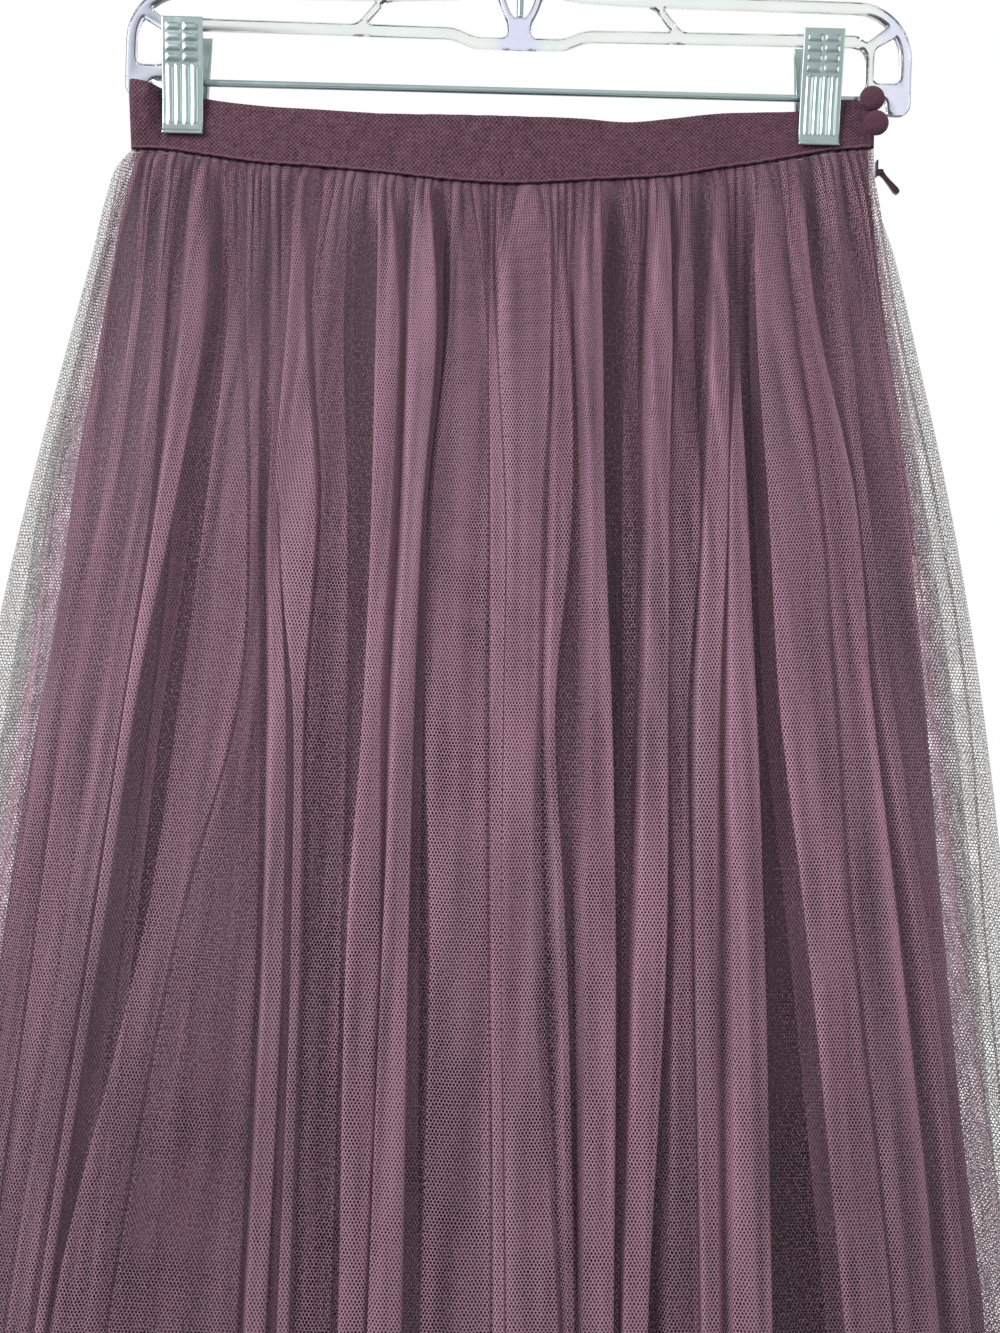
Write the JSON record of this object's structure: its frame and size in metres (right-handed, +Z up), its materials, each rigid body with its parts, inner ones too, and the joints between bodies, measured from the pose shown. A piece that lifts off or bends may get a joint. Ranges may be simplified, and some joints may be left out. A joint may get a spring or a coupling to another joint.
{
  "type": "tulle skirt on a clip hanger",
  "caption": "Long gathered tulle skirt with a lining and a buttoned waistband, hung by its waistband from a clear clip hanger.",
  "frame": {"origin": "the inside top of the hanger's hook, where a rail carries it", "axes": "+Z up, -Y the front of the skirt, +X its closing side with the buttons and zip"},
  "size_m": [0.61, 0.2181, 1.163],
  "materials": {
    "waistband": "matt crepe weave, dusty plum",
    "tulle": "fine hexagonal net, dusty plum",
    "lining": "smooth plum lining with a soft sheen",
    "zip": "dyed nylon coil and tape",
    "zip_metal": "plum enamel",
    "button_cloth": "button covered in plum crepe",
    "clear_plastic": "clear moulded plastic, faint green-grey edges",
    "chrome": "pale plated steel"
  },
  "bodies": {
    "skirt": {"waistband_front": "waistband", "waistband_back": "waistband", "net_outer_front": "tulle", "net_outer_back": "tulle", "net_inner_front": "tulle", "net_inner_back": "tulle", "lining_front": "lining", "lining_back": "lining", "zip_tape": "zip", "zip_slider": "zip_metal", "button_upper": "button_cloth", "button_lower": "button_cloth", "hanger_frame": "clear_plastic", "hanger_collar": "clear_plastic", "hanger_hook": "chrome", "hanger_rod": "chrome", "clip_left_front": "chrome", "clip_left_back": "chrome", "clip_left_barrel": "chrome", "clip_right_front": "chrome", "clip_right_back": "chrome", "clip_right_barrel": "chrome"},
    "zip_tab": {"zip_pull": "zip_metal"}
  },
  "joints": [
    {"name": "pull_swing", "type": "hinge", "parent": "skirt", "child": "zip_tab", "pos_m": [0.1654, 0, -0.152], "axis": [0, -1, 0], "range_deg": [-30, 120]}
  ]
}
